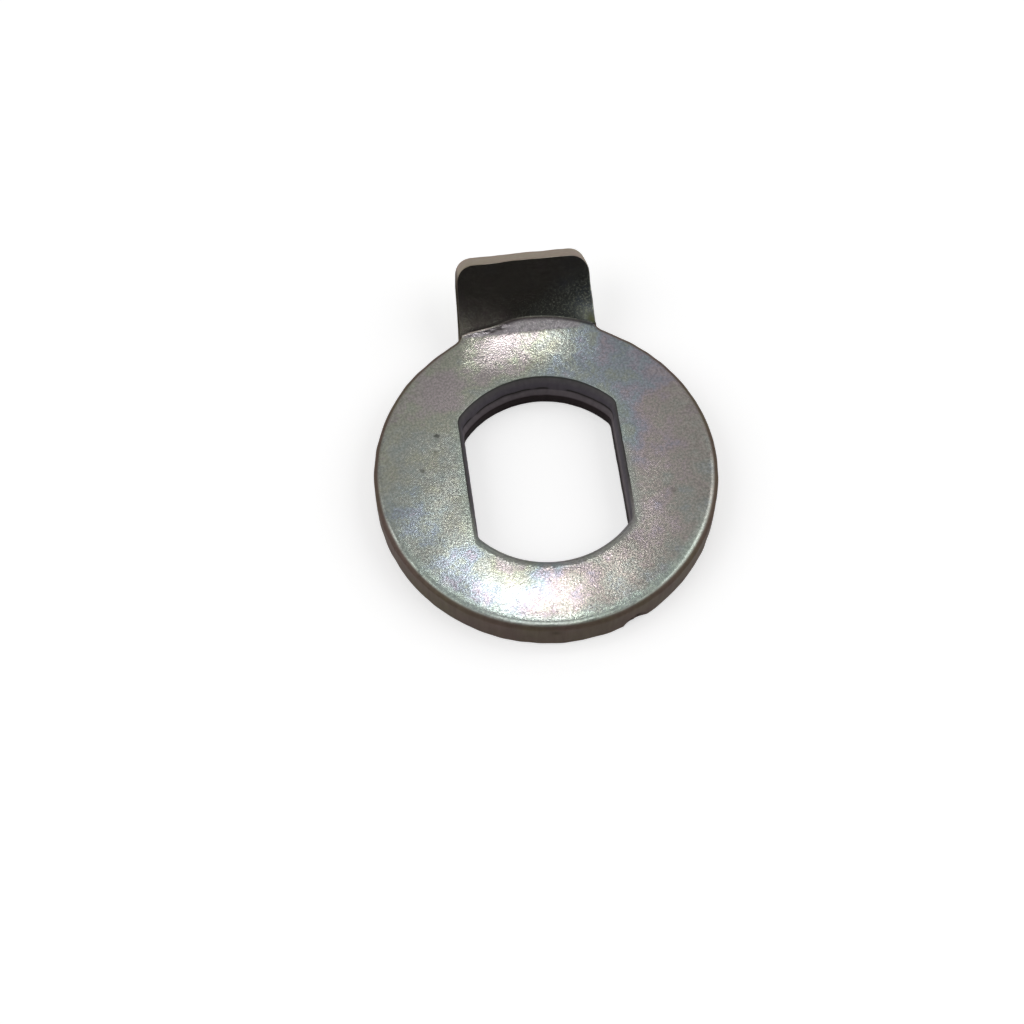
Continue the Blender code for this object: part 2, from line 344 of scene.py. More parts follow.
def arc(centre, radius, start, end, steps):
    turns = np.linspace(start, end, steps + 1)
    return np.asarray(centre) + radius * np.stack([np.cos(turns), np.sin(turns)], axis=1)


def fine_arc(centre, radius, start, end):
    return arc(centre, radius, start, end, max(2, math.ceil(abs(end - start) * radius / EDGE_PITCH)))


def straight(start, end, steps):
    return np.asarray(start) + np.linspace(0.0, 1.0, steps + 1)[:, None] * (np.asarray(end) - start)


def angle_of(vector):
    return math.atan2(vector[1], vector[0])


def beside_line(point, along, middle, distance):
    """Where the line through point, on its far side, is this distance from the middle."""
    reach = point - middle
    half = reach @ along
    return point + along * (math.sqrt(half * half - reach @ reach + distance * distance) - half)


def right_side_of_tab():
    """From the root fillet round the right corner to the middle of the tab's end."""
    root = np.array([TAB_ROOT_HALF, RING_RADIUS])
    tip = np.array([TAB_END_HALF, BLANK_END])
    along = (tip - root) / np.linalg.norm(tip - root)
    outward = np.array([along[1], -along[0]])
    fillet = beside_line(root + outward * TAB_ROOT_FILLET, along, np.zeros(2), RING_RADIUS + TAB_ROOT_FILLET)
    fillet_arc = fine_arc(fillet, TAB_ROOT_FILLET, angle_of(-fillet), angle_of(outward) - math.pi)
    end_middle = np.array([0.0, BLANK_END - TAB_END_RADIUS])
    corner = beside_line(
        root - outward * TAB_CORNER_RADIUS, along, end_middle, TAB_END_RADIUS - TAB_CORNER_RADIUS
    )
    end_turn = angle_of(corner - end_middle)
    corner_arc = fine_arc(corner, TAB_CORNER_RADIUS, angle_of(outward), end_turn)
    end_arc = fine_arc(end_middle, TAB_END_RADIUS, end_turn, math.pi / 2)
    side_steps = math.ceil(np.linalg.norm(corner_arc[0] - fillet_arc[-1]) / EDGE_PITCH)
    side = straight(fillet_arc[-1], corner_arc[0], side_steps)
    return np.concatenate([fillet_arc, side[1:-1], corner_arc, end_arc[1:]])


def blank_outline():
    """The rim and the flat tab, anticlockwise from the tab's right root."""
    right = right_side_of_tab()
    left = right[-2::-1] * (-1.0, 1.0)
    rim = fine_arc((0.0, 0.0), RING_RADIUS, angle_of(left[-1]), angle_of(right[0]) + 2 * math.pi)
    return np.concatenate([right, left, rim[1:-1]])


def outward_of(loop):
    """The direction out of an anticlockwise loop at each of its points."""
    along = np.roll(loop, -1, axis=0) - np.roll(loop, 1, axis=0)
    along /= np.linalg.norm(along, axis=1)[:, None]
    return np.stack([along[:, 1], -along[:, 0]], axis=1)


def hole_outline(on_arcs, on_flats):
    """The double-D, anticlockwise, with the same number of points whatever it is let out by."""
    radius = HOLE_RADIUS + on_arcs
    flat = HOLE_HALF_FLATS + on_flats
    across = flat - HOLE_CORNER_RADIUS
    corner = np.array([across, math.sqrt((radius - HOLE_CORNER_RADIUS) ** 2 - across**2)])
    turn = angle_of(corner)
    side = straight((flat, 0.0), (flat, corner[1]), HOLE_SIDE_STEPS)
    bend = arc(corner, HOLE_CORNER_RADIUS, 0.0, turn, HOLE_CORNER_STEPS)
    sweep = arc((0.0, 0.0), radius, turn, math.pi / 2, HOLE_ARC_STEPS)
    quarter = np.concatenate([side, bend[1:], sweep[1:]])
    upper = np.concatenate([quarter, quarter[-2::-1] * (-1.0, 1.0)])
    return np.concatenate([upper[:-1], -upper[:-1]])


def sag_at(across):
    """How far the crease lies forward of the ring's rim, over a stretch at the left."""
    beside = np.minimum(np.abs(across - CREASE_SAG_PLACE) * 2 / CREASE_SAG_WIDTH, 1.0)
    return CREASE_SAG * (1.0 + np.cos(np.pi * beside)) / 2


def crease_at(across):
    """How far back the crease lies: it follows the ring's rim, but for the sag."""
    return np.sqrt(np.maximum(RING_RADIUS**2 - across**2, 0.0)) - sag_at(across)


# Rows of the two walls, from above downwards

def nick_depth(loop, height):
    """How far the nick stands in from the rim at this height, for each point of the blank's outline."""
    place = turned(turned(loop, TAB_TURN), -NICK_PLACE)
    shape = 1.0 - (place[:, 1] / NICK_HALF_WIDTH) ** 2 - (height / NICK_HEIGHT) ** 2
    depth = NICK_DEPTH * np.sqrt(np.maximum(shape, 0.0)) - place[:, 1] ** 2 / (2 * RING_RADIUS)
    return np.where(place[:, 0] > 0.0, np.maximum(depth, 0.0), 0.0)


def upper_roll(loop):
    """Radius of the rolled upper edge at each point of the blank's outline: less on the tab."""
    beyond = (np.hypot(loop[:, 0], loop[:, 1]) - RING_RADIUS) / TAB_ROOT_FILLET
    return TOP_EDGE_ROLL + (TAB_EDGE_ROLL - TOP_EDGE_ROLL) * np.clip(beyond, 0.0, 1.0)


def rim_profile(loop):
    """(height, how far in, how much it is a wall) down the rolled edge, the wall and the lower break."""
    roll = upper_roll(loop)
    rows = []
    for turn in np.linspace(0.0, math.pi / 2, ROLL_ROWS + 1):
        height = THICKNESS - roll * (1.0 - math.cos(turn))
        rows.append((height, ROLL_SPREAD * roll * (1.0 - math.sin(turn)), smooth(turn, *ROLL_TO_WALL)))
    for share in np.linspace(0.0, 1.0, RIM_ROWS + 1)[1:]:
        rows.append(((THICKNESS - roll) * (1.0 - share) + LOWER_EDGE_BREAK * share, 0.0, 1.0))
    for share in np.linspace(0.0, 1.0, BREAK_ROWS + 1)[1:]:
        rows.append((LOWER_EDGE_BREAK * (1.0 - share), LOWER_EDGE_BREAK * share, 1.0))
    return rows


def hole_profile(power, fade):
    """(height, let out on the arcs, on the flats, how much it is a wall) down the punched wall."""
    rows = []
    for share in MOUTH_SHARES:
        opened = share**power
        rows.append((
            THICKNESS - MOUTH_DEPTH * (1.0 - share),
            LEDGE_ON_ARCS + MOUTH_ON_ARCS * opened,
            LEDGE_ON_FLATS + MOUTH_ON_FLATS * opened,
            min(1.0, (1.0 - share) / fade),
        ))
    band = np.linspace(THICKNESS - MOUTH_DEPTH, CRACK_HEIGHT + BAND_ROWS_TO, BAND_ROWS + 1)[1:]
    torn = np.linspace(CRACK_HEIGHT + CRACK_ROWS_FROM, LAND_HEIGHT + LEDGE_HEIGHT, CRACK_ROWS + 1)
    for height in [*band, *torn]:
        rows.append((height, LEDGE_ON_ARCS, LEDGE_ON_FLATS, 1.0))
    for share in np.linspace(1.0, 0.0, LEDGE_ROWS + 1)[1:]:
        rows.append((LAND_HEIGHT + LEDGE_HEIGHT * share, LEDGE_ON_ARCS * share, LEDGE_ON_FLATS * share, 1.0))
    for height in np.linspace(LAND_HEIGHT, LOWER_EDGE_BREAK, LAND_ROWS + 1)[1:]:
        rows.append((height, 0.0, 0.0, 1.0))
    rows.append((0.0, LOWER_EDGE_BREAK, LOWER_EDGE_BREAK, 1.0))
    return rows


# Flat faces, filled with even triangles

def chunks(points, size=2500):
    """The points a part at a time, so that comparing them with a loop takes little memory."""
    return [points[i : i + size] for i in range(0, len(points), size)]


def inside(points, loop):
    """Which points a loop goes round, by the edges of it that lie to their right."""
    found = []
    here, after = loop, np.roll(loop, -1, axis=0)
    rise = after[:, 1] - here[:, 1]
    slope = (after[:, 0] - here[:, 0]) / np.where(rise == 0.0, 1.0, rise)
    for part in chunks(points):
        x, y = part[:, :1], part[:, 1:]
        crosses = (here[:, 1] > y) != (after[:, 1] > y)
        found.append((crosses & (x < here[:, 0] + (y - here[:, 1]) * slope)).sum(axis=1) % 2 == 1)
    return np.concatenate(found)


def apart(points, loop, distance):
    """Which points are further than this distance from every point of the loop."""
    found = []
    for part in chunks(points):
        gaps = ((part[:, None, :] - loop[None, :, :]) ** 2).sum(axis=2)
        found.append(gaps.min(axis=1) > distance * distance)
    return np.concatenate(found)


def even_points(pitch):
    """An even triangular grid over the ring, short of the crease."""
    rows = []
    height = pitch * math.sqrt(3.0) / 2
    for i, y in enumerate(np.arange(-RING_RADIUS, RING_RADIUS, height)):
        x = np.arange(-RING_RADIUS, RING_RADIUS, pitch) + (i % 2) * pitch / 2
        rows.append(np.stack([x, np.full_like(x, y)], axis=1))
    points = np.concatenate(rows)
    short = points[:, 1] < np.minimum(crease_at(points[:, 0]), PAD_EDGE) - pitch / 2
    return points[short | (np.abs(points[:, 0]) > TAB_ROOT_HALF + TAB_ROOT_FILLET)]


def bend_points(pitch):
    """Rows along the crease: over the lifted strip, round the bend and up the tab."""
    half = TAB_ROOT_HALF + TAB_ROOT_FILLET
    x = np.linspace(-half, half, 2 * math.ceil(half / pitch) + 1)
    crease = crease_at(x)
    held = crease > PAD_EDGE + LEAST_STRIP_SHARE * pitch
    strip_rows = math.ceil(LIFT_WIDTH / pitch)
    rows = []
    for i in range(strip_rows):
        y = PAD_EDGE + i / strip_rows * (crease - PAD_EDGE)
        rows.append(np.stack([x, y], axis=1)[held])
    steps = np.linspace(0.0, NEUTRAL_LENGTH, BEND_ROWS + 1)
    steps = np.concatenate([steps, np.arange(NEUTRAL_LENGTH + pitch, BLANK_END, pitch)])
    for step in steps:
        rows.append(np.stack([x, crease + step], axis=1))
    return np.concatenate(rows)


def pit_points():
    """Middles of the pits and the bead in the blank's own frame, and closer points round each."""
    turns = np.arange(0.0, 2 * math.pi, 2 * math.pi / PIT_SPOKES)
    patch = [np.zeros((1, 2))]
    for radius in np.arange(PIT_PITCH, PIT_REACH, PIT_PITCH):
        patch.append(radius * np.stack([np.cos(turns + radius), np.sin(turns + radius)], axis=1))
    patch = np.concatenate(patch)
    middles = turned(np.array([mark[0] for mark in [*PITS, BEAD]]), -TAB_TURN)
    return middles, np.concatenate([patch + middle for middle in middles])


def filled(outer, inner, pitch):
    """Points and triangles of a flat face between two loops, whose points come first."""
    extra = np.concatenate([even_points(pitch), bend_points(pitch)])
    middles, close = pit_points()
    extra = np.concatenate([extra[apart(extra, middles, PIT_REACH)], close])
    extra = extra[inside(extra, outer)]
    extra = extra[~inside(extra, inner)]
    keep_off = KEEP_OFF_SHARE * min(pitch, 2 * EDGE_PITCH)
    extra = extra[apart(extra, outer, keep_off)]
    extra = extra[apart(extra, inner, keep_off)]
    points = np.concatenate([outer, inner, extra])
    ends = []
    for first, count in ((0, len(outer)), (len(outer), len(inner))):
        ends += [(first + i, first + (i + 1) % count) for i in range(count)]
    corners, _, faces = delaunay_2d_cdt([Vector(p) for p in points], ends, [], 0, SAME_POINT)[:3]
    corners = np.array([tuple(corner) for corner in corners])
    triangles = np.array([face for face in faces if len(face) == 3])
    middles = corners[triangles].mean(axis=1)
    return corners, triangles[inside(middles, outer) & ~inside(middles, inner)]


# The closed surface of the flat blank

def add_piece(pieces, points, faces, wall, hole):
    """A piece of the surface: its points and faces, and how much each point is wall and hole."""
    pieces.append((points, faces, np.broadcast_to(wall, len(points)), np.full(len(points), float(hole))))


def add_wall(pieces, rows, walls, hole):
    """Quads between loops that run one below the other, facing out of the steel."""
    count = len(rows[0])
    here = np.arange(count)
    after = (here + 1) % count
    faces = []
    for i in range(len(rows) - 1):
        upper, lower = i * count, (i + 1) * count
        quads = np.stack([upper + here, lower + here, lower + after, upper + after], axis=1)
        faces.append(quads[:, ::-1] if hole else quads)
    walls = np.concatenate([np.broadcast_to(wall, count) for wall in walls])
    add_piece(pieces, np.concatenate(rows), np.concatenate(faces), walls, hole)


def at_height(loop, height):
    """The loop's points at one height, or at one height each."""
    return np.concatenate([loop, np.broadcast_to(height, len(loop))[:, None]], axis=1)


def merged(pieces):
    """The pieces joined where their points are the same."""
    points = np.concatenate([piece[0] for piece in pieces])
    walls = np.concatenate([piece[2] for piece in pieces])
    holes = np.concatenate([piece[3] for piece in pieces])
    rounded = np.round(points, SAME_POINT_DIGITS)
    _, first, index = np.unique(rounded, axis=0, return_index=True, return_inverse=True)
    index = index.reshape(-1)
    faces, start = [], 0
    for own, own_faces, _, _ in pieces:
        faces += [[int(index[start + i]) for i in face] for face in own_faces]
        start += len(own)
    return points[first], faces, walls[first], holes[first]


def blank_surface():
    """Points, faces and the wall and hole shares of the flat blank."""
    outline = blank_outline()
    outward = outward_of(outline)
    rim, rim_walls = [], []
    for height, inset, wall in rim_profile(outline):
        inset = np.maximum(inset, nick_depth(outline, height))
        rim.append(at_height(outline - outward * inset[:, None], height))
        rim_walls.append(wall)
    hole, hole_walls = [], []
    for crisp, soft in zip(hole_profile(*CRISP_MOUTH), hole_profile(*SOFT_MOUTH)):
        crisp_loop, soft_loop = hole_outline(*crisp[1:3]), hole_outline(*soft[1:3])
        softened = smooth(crisp_loop[:, 1], *MOUTH_SOFTENS)
        loop = crisp_loop + (soft_loop - crisp_loop) * softened[:, None]
        hole.append(at_height(turned(loop, -TAB_TURN), crisp[0]))
        hole_walls.append(crisp[3] + (soft[3] - crisp[3]) * softened)
    pieces = []
    add_wall(pieces, rim, rim_walls, False)
    add_wall(pieces, hole, hole_walls, True)
    top, triangles = filled(rim[0][:, :2], hole[0][:, :2], TOP_PITCH)
    add_piece(pieces, at_height(top, THICKNESS), triangles, 0.0, False)
    under, triangles = filled(rim[-1][:, :2], hole[-1][:, :2], UNDER_PITCH)
    add_piece(pieces, at_height(under, 0.0), triangles[:, ::-1], 0.0, False)
    return merged(pieces)


# Bending and crowning

def bent(points):
    """The flat blank's points with the tab bent up along the curved crease."""
    x, y, z = points.T
    crease = crease_at(x)
    past = y - crease
    lift = np.maximum(np.minimum(y, crease) - PAD_EDGE, 0.0) * math.tan(LIFT_ANGLE)
    turn = BEND_ANGLE * np.clip(past / NEUTRAL_LENGTH, 0.0, 1.0)
    length = np.maximum(past - NEUTRAL_LENGTH, 0.0)
    left_over = 1.0 - np.clip(length / FLATTENED_LENGTH, 0.0, 1.0)
    flattened = 1.0 - left_over**2
    length -= sag_at(x) * flattened
    reach = BEND_RADIUS + THICKNESS - z
    back = crease + reach * np.sin(turn) + length * np.cos(turn)
    back += FLATTENED_SHARE * (RING_RADIUS - crease) * flattened
    up = THICKNESS + BEND_RADIUS - reach * np.cos(turn) + length * np.sin(turn)
    behind = (y > 0.0) & (np.abs(x) < TAB_ROOT_HALF + TAB_ROOT_FILLET)
    new_y = np.where(behind & (past > 0.0), back, y)
    new_z = np.where(behind, np.where(past > 0.0, up, z) + lift, z)
    return np.stack([x, new_y, new_z], axis=1)


def crowned(points, blank):
    """The punched plate's slight crown: it falls towards the rim, and rises before the tab."""
    x, y, z = blank.T
    share = z / THICKNESS
    beyond = np.clip((np.hypot(x, y) - CROWN_START) / (RING_RADIUS - CROWN_START), 0.0, 1.0)
    free = smooth(y, *CROWN_FREE_ALONG) * smooth(np.abs(x), *CROWN_FREE_ACROSS)
    run = np.clip(y, RISE_START, PAD_EDGE) - RISE_START
    rise = np.where(run < RISE_EASE, run**2 / (2 * RISE_EASE), run - RISE_EASE / 2)
    held = smooth(np.abs(x - RISE_MIDDLE), *RISE_ACROSS)
    height = math.tan(RISE_SLOPE) * rise * held - CROWN_FALL * beyond**2 * (1.0 - free)
    points[:, 2] += height * share
    return points


def normals_of(points, faces):
    """Each point's normal, from the faces that meet there."""
    first, second, third = np.array([face[:3] for face in faces]).T
    facing = np.cross(points[second] - points[first], points[third] - points[first])
    total = np.zeros_like(points)
    for corner in (first, second, third):
        np.add.at(total, corner, facing)
    return total / np.maximum(np.linalg.norm(total, axis=1), 1e-12)[:, None]


# Small forms. Each gives how far it moves the surface out, and how dark it makes it.

def on_top(blank, wall):
    """1 on the upper face, 0 on the walls and the underside."""
    return (1.0 - wall) * (blank[:, 2] > THICKNESS / 2)


def pits(plan, blank, top):
    """Shallow dark pits with ragged edges."""
    moved = np.zeros(len(blank))
    dark = np.zeros(len(blank))
    ragged = 1.0 + lumps(blank, *PIT_RAGGED)
    for place, depth, width, darkness in PITS:
        dent = near(plan, place, width) * top
        moved -= depth * dent
        dark = np.maximum(dark, darkness * smooth(dent * ragged, *PIT_DARKENS))
    return moved, dark


def bead(plan, blank):
    """A bead of plate standing up from the rim's edge."""
    place, height, width = BEAD
    return height * near(plan, place, width) * (blank[:, 2] > THICKNESS - BEAD_REACH), 0.0


def torn_nick(plan, blank, wall):
    """Rough metal in the nick, patchily darker."""
    outward, along = turned(plan, -NICK_PLACE).T
    torn = near(np.stack([along, blank[:, 2]], axis=1), (0.0, NICK_TORN_HEIGHT), NICK_TORN_WIDTH)
    torn *= (wall > FULL_WALL) * (outward > RING_RADIUS - NICK_REACH)
    patchy = smooth(lumps(blank, *NICK_DARK_LUMPS), *NICK_PATCHY)
    return lumps(blank, *NICK_TORN) * torn, NICK_DARKNESS * torn * patchy


def smudge(blank, wall):
    """A dark smudge on the rim's front wall."""
    x, y, z = blank.T
    spot = near(np.stack([x, z], axis=1), SMUDGE_PLACE, SMUDGE_WIDTH)
    return 0.0, SMUDGE_DARKNESS * spot * (y < SMUDGE_BEFORE) * (wall > FULL_WALL)


def crack(blank, hole):
    """A broken line that wanders round the arcs of the hole's wall."""
    y, z = blank.T[1:]
    on_arcs = hole * smooth(np.abs(y), *CRACK_ON_ARCS)
    broken = smooth(lumps(blank * LEVEL, *CRACK_BREAKS), *CRACK_BROKEN)
    line = ridge(z - CRACK_HEIGHT - lumps(blank * LEVEL, *CRACK_WANDER), CRACK_WIDTH) * on_arcs * broken
    return -CRACK_DEPTH * line, line


def shaded_tab_sides(blank, wall):
    """Painted shade on the tab's side walls, between its root and its corners."""
    x, y, _ = blank.T
    beside = (np.abs(x) > TAB_END_HALF - SIDE_INSET) * smooth(wall, *SIDE_ON_WALL)
    stretch = smooth(y - crease_at(x), *SIDE_FROM_CREASE) * smooth(y, *SIDE_TO_END)
    return 0.0, SIDE_SHADE * beside * stretch


def folds(blank, top):
    """Flakes of metal pushed up in front of the crease, with a dent and a painted shadow line under them."""
    x, y, _ = blank.T
    before = crease_at(x) + FOLD_FORWARD - y
    fold = ridge(before + lumps(blank, *FOLD_WANDER), FOLD_WIDTH) * top
    fold *= smooth(x, *FOLD_LEFT) * smooth(x, *FOLD_RIGHT)
    fold *= smooth(lumps(blank, *FOLD_BREAKS), *FOLD_BROKEN)
    under = ridge(before - UNDER_FOLD, UNDER_FOLD_WIDTH) * top
    under *= smooth(x, *UNDER_FOLD_LEFT) * smooth(x, *UNDER_FOLD_RIGHT)
    return FOLD_HEIGHT * fold - UNDER_FOLD_DEPTH * under, UNDER_FOLD_SHADOW * under


def unevenness(blank, wall, hole):
    """Slight lumps of the sheared land, the outer wall and the whole plate."""
    on_land = lumps(blank * LAND_STREAKED, *LAND_LUMPS) * hole * smooth(blank[:, 2], *LAND_UNEVEN)
    on_rim = lumps(blank * WALL_STREAKED, *WALL_LUMPS) * wall * (1.0 - hole)
    return on_land + on_rim + lumps(blank, *PLATE_LUMPS), 0.0


def small_forms(plan, blank, wall, hole):
    """How far all the small forms move the surface out, and how dark they make it."""
    top = on_top(blank, wall)
    out = np.zeros(len(blank))
    dark = np.zeros(len(blank))
    for moved, darkness in (
        pits(plan, blank, top), bead(plan, blank), torn_nick(plan, blank, wall), smudge(blank, wall),
        crack(blank, hole), shaded_tab_sides(blank, wall), folds(blank, top), unevenness(blank, wall, hole),
    ):
        out += moved
        dark = np.maximum(dark, darkness)
    return out, dark


# What the finish follows, as shares from 0 to 1 that the mesh carries

def tab_shares(blank, top):
    """The tab's front face: its painted glints, its darker part, the painted shade at its foot in the
    crease, and the painted light patch at its root corner.
    """
    x, y, _ = blank.T
    past = y - crease_at(x)
    face = smooth(past, *FACE_STARTS)
    low_right = smooth(1.0 + GLINTED_ACROSS * x + GLINTED_ALONG * past, 0.0, 1.0)
    # Painted shade in the crease at the tab's foot
    crease_shade = smooth(past, *CREASE_SHADE_STARTS) * smooth(past, *CREASE_SHADE_ENDS) * smooth(x, *CREASE_SHADE_LEFT)
    crease_shade *= (np.abs(x) < TAB_ROOT_HALF + CREASE_SHADE_MARGIN) * top
    beside = np.stack([np.abs(x) + LIT_CORNER_LEAN * np.maximum(past, 0.0), past], axis=1)
    # The corner's share is a painted light patch where the face curls at its root
    corner = near(beside, LIT_CORNER_PLACE, LIT_CORNER_WIDTH) * smooth(past, *LIT_CORNER_STARTS) * top
    return {
        "painted_glints": face * (LEAST_PAINTED_GLINTS + (1.0 - LEAST_PAINTED_GLINTS) * low_right),
        "face_darkening": face * (1.0 - low_right) * top,
        "crease_shade": crease_shade,
        "corner": corner * np.where(x > 0.0, 1.0, LIT_CORNER_AT_LEFT),
        "end": smooth(y, *LIT_END_STARTS),
    }


def ring_shares(blank, top):
    """The strip before the crease, the hole's edge, the painted highlight on the rim's front and the raised
    grain.
    """
    x, y, z = blank.T
    strip = smooth(y, *STRIP_FRONT) * smooth(crease_at(x) - y, *STRIP_BACK)
    beyond_hole = np.maximum(np.abs(x) - HOLE_HALF_FLATS, np.hypot(x, y) - HOLE_RADIUS)
    # The rim's share is a painted highlight along the front of the rim, ragged where the radius wanders
    radius = np.hypot(x, y) + lumps(blank, *RIM_HIGHLIGHT_WANDER)
    raised = smooth(y, *RAISED_STARTS) * smooth(y, *RAISED_ENDS)
    return {
        "strip": strip * smooth(np.abs(x - STRIP_MIDDLE), *STRIP_ACROSS) * top,
        "edge": smooth(beyond_hole, *HOLE_EDGE_FADES) * top,
        "rim": smooth(radius, *RIM_HIGHLIGHT_STARTS) * smooth(y, *RIM_HIGHLIGHT_BEFORE) * (z > THICKNESS / 2),
        "raised": raised * smooth(np.abs(x - RAISED_MIDDLE), *RAISED_ACROSS) * top,
    }


def film_share(plan):
    """How thick the film is, as a place on its range of colours."""
    film = FILM_START + FILM_ACROSS * plan[:, 0] + FILM_ALONG * plan[:, 1]
    for place, width, change in FILM_PATCHES:
        film += change * near(plan, place, width)
    return film


# Assembly

def washer_object():
    """The finished mesh, which carries its shares as attributes of its points."""
    blank, faces, wall, hole = blank_surface()
    plan = turned(blank[:, :2], TAB_TURN)
    top = on_top(blank, wall)
    out, dark = small_forms(plan, blank, wall, hole)
    points = crowned(bent(blank), blank)
    points += normals_of(points, faces) * out[:, None]
    points[:, :2] = turned(points[:, :2], TAB_TURN)
    points[:, :2] += RING_CENTRE
    mesh = bpy.data.meshes.new("washer_steel")
    mesh.from_pydata((points * MM).tolist(), [], faces)
    shares = {
        "wall": wall, "hole": hole, "dark": dark, "film": film_share(plan),
        **ring_shares(blank, top), **tab_shares(blank, top),
    }
    for name, values in shares.items():
        layer = mesh.attributes.new(name, "FLOAT", "POINT")
        layer.data.foreach_set("value", values.astype(np.float32))
    mesh.shade_smooth()
    mesh.set_sharp_from_angle(angle=SHARP_ANGLE)
    mesh.validate()
    washer = bpy.data.objects.new("washer_steel", mesh)
    bpy.context.scene.collection.objects.link(washer)
    return washer


# Colours, in linear light

def rgb(red, green, blue):
    return (red, green, blue, 1.0)


def grey(level):
    return rgb(level, level, level)


# The film's colours as it thickens, and how far they are calmed towards one grey
FILM_RANGE = 1.7
FILM_COLOURS = [
    (0.0, rgb(0.51, 0.45, 0.45)), (0.16, rgb(0.50, 0.46, 0.435)), (0.32, rgb(0.475, 0.49, 0.395)),
    (0.48, rgb(0.455, 0.475, 0.425)), (0.64, rgb(0.425, 0.47, 0.435)), (0.78, rgb(0.395, 0.455, 0.51)),
    (0.92, rgb(0.45, 0.425, 0.495)), (1.08, rgb(0.51, 0.435, 0.445)), (1.22, rgb(0.485, 0.44, 0.40)),
    (1.36, rgb(0.455, 0.45, 0.405)), (1.5, rgb(0.425, 0.45, 0.445)), (1.7, rgb(0.47, 0.435, 0.445)),
]
FILM_GREY = rgb(0.45, 0.46, 0.445)
FILM_CALMED = 0.14

# The hole wall's colours by height in millimetres, with painted shade making the land near the bottom almost
# black
HOLE_COLOURS_AND_SHADE = [
    (0.0, rgb(0.027, 0.020, 0.021)), (0.98, rgb(0.030, 0.022, 0.023)), (1.08, rgb(0.14, 0.12, 0.13)),
    (1.4, rgb(0.17, 0.15, 0.16)), (1.52, rgb(0.11, 0.097, 0.11)), (2.12, rgb(0.112, 0.10, 0.118)),
    (2.3, rgb(0.11, 0.10, 0.112)), (2.5, rgb(0.10, 0.094, 0.095)), (2.6, rgb(0.03, 0.033, 0.03)),
]

# The outer wall, darker sheared steel with painted shade added, and the tab's paler sheared end, part of it
# painted light: a dark streak, then two lighter colours that drift
OUTER_WALL_SHADED = (rgb(0.10, 0.073, 0.06), rgb(0.165, 0.115, 0.10), rgb(0.155, 0.13, 0.085))
SHEARED_END_LIT = (rgb(0.28, 0.22, 0.185), rgb(0.42, 0.32, 0.27), rgb(0.38, 0.34, 0.24))

# Coats over the plate, each where a share of the mesh says: (share, strength, colour)
COATS_UNDER_SPECKLE = [
    ("edge", 0.55, rgb(0.43, 0.50, 0.445)),
    ("strip", 0.85, rgb(0.44, 0.41, 0.435)),
    # The rim's coat is a painted highlight: a pale band along the front of the rim
    ("rim", 0.7, rgb(0.58, 0.68, 0.60)),
]
# The tab's front face made darker and redder away from its low right
FACE_DARKENING_COAT = ("face_darkening", 0.5, rgb(0.24, 0.17, 0.16))
PAINTED_SHADE_AND_LIGHT_OVER_GLINTS = [
    # Painted shade in the crease at the tab's foot
    ("crease_shade", 0.9, rgb(0.022, 0.015, 0.014)),
    # A painted light patch at the tab's root corner
    ("corner", 1.0, rgb(0.15, 0.16, 0.08)),
]
# Darkening where the mesh's dark share says: on the pits, the crack, the nick and the smudge, and as painted
# shade on the tab's sides and under the folds
DIRT_AND_SHADE_COAT = ("dark", 0.85, rgb(0.022, 0.02, 0.014))
# Painted glints: bright specks on the tab's front face where the glint noise is high
PAINTED_GLINT_COLOUR = rgb(0.88, 0.93, 0.78)
SPECKLE_TONES = (0.79, 1.21)
STREAK_TONES = (0.75, 1.25)

# Noises of the finish: (lumps to the metre, detail)
BROAD_FILM = (210.0, 2.0)
SMALL_FILM = (900.0, 2.0)
FINE_FILM = (5200.0, 1.0)
WALL_DRIFT = (300.0, 2.0)
STREAKS = (3600.0, 3.0)
SPECKLE = (7000.0, 1.0)
GLINTS = (7500.0, 1.0)
DULLNESS = (1400.0, 2.0)
FINE_GRAIN = (8500.0, 1.0)
SOFT_GRAIN = (2600.0, 1.0)

# How far the film's noises thicken it, and the stretch of other noises that is used
BROAD_FILM_CHANGE = 0.8
SMALL_FILM_CHANGE = 0.8
FINE_FILM_CHANGE = 0.25
DRIFT_STRETCH = (0.35, 0.65)
SPECKLE_STRETCH = (0.3, 0.7)
GLINT_STRETCH = (0.5, 0.68)
STREAK_DRAWN = (1.0, 1.0, 0.1)

# Roughness, metal and relief of the plate, and what each share of the mesh adds to them
ROUGHNESS = 0.15
DULL_ROUGHNESS = 0.10
ROUGHNESS_CHANGES = {"wall": 0.15, "strip": 0.05, "dark": 0.25}
# The corner's painted light patch is made less metal, so that its pale colour shows
METAL_CHANGES = {"wall": -0.8, "hole": -0.1, "dark": -0.1, "corner": -0.7}
GRAIN_CHANGES = {"strip": -0.75, "wall": -0.9}
SOFT_GRAIN_SHARE = 0.25
RAISED_GRAIN_SHARE = 1.1
RELIEF_HEIGHT = 3.2e-6


# Shader nodes, and the places of the Mix node's colour sockets, which share their names with others

MIX_FIRST = 6
MIX_SECOND = 7
MIX_RESULT = 2


def node(tree, kind, sockets, **settings):
    """A shader node with its settings, and a number or a link for each named socket."""
    made = tree.nodes.new(kind)
    for name, value in settings.items():
        setattr(made, name, value)
    for name, value in sockets.items():
        if isinstance(value, bpy.types.NodeSocket):
            tree.links.new(value, made.inputs[name])
        else:
            made.inputs[name].default_value = value
    return made


def times(tree, first, second):
    return node(tree, "ShaderNodeMath", {0: first, 1: second}, operation="MULTIPLY").outputs[0]


def sum_of(tree, start, parts):
    """start, plus each socket times its weight."""
    total = start
    for socket, weight in parts:
        added = node(tree, "ShaderNodeMath", {0: socket, 1: weight, 2: total}, operation="MULTIPLY_ADD")
        total = added.outputs[0]
    return total


